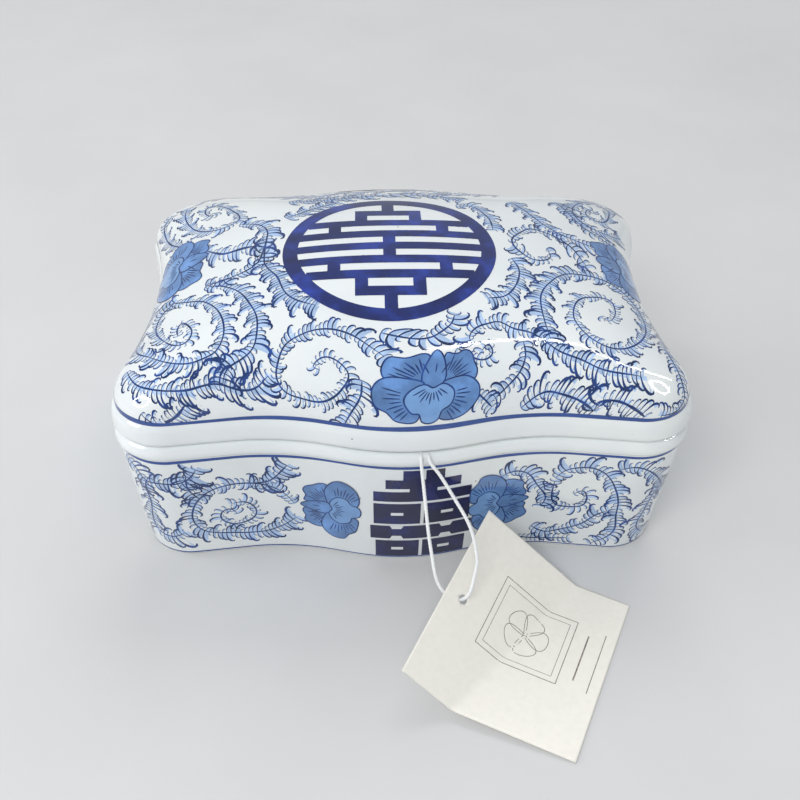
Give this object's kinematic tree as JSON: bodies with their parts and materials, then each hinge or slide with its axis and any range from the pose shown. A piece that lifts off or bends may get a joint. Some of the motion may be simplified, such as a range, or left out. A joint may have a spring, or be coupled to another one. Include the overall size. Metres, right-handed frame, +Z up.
{
  "type": "vanity trinket box",
  "caption": "Lidded porcelain trinket box with a wavy rectangular plan, a domed lift-off lid and a folded hang tag on a looped string.",
  "frame": {"origin": "middle of the foot, on the surface the box stands on", "axes": "+Z up, +X across the width to the right, -Y towards the front, where the tag lies"},
  "size_m": [0.203, 0.23, 0.0976],
  "materials": {
    "glaze": "clear glossy glaze over white porcelain",
    "cobalt": "blue underglaze painting under the same clear glaze",
    "card": "matte cream card, creased once",
    "string": "fine white cord"
  },
  "bodies": {
    "box": {"box_base": "glaze", "string_knot": "string"},
    "lid": {"lid": "glaze"},
    "tag": {"tag_card": "card", "tag_string": "string"}
  },
  "joints": [
    {"name": "lid_lift", "type": "slide", "parent": "box", "child": "lid", "axis": [0, 0, 1], "range_m": [0, 0.11]},
    {"name": "tag_swing", "type": "hinge", "parent": "box", "child": "tag", "pos_m": [0.0069, -0.076, 0.0549], "axis": [-1, 0, 0], "range_deg": [0, 60]}
  ]
}
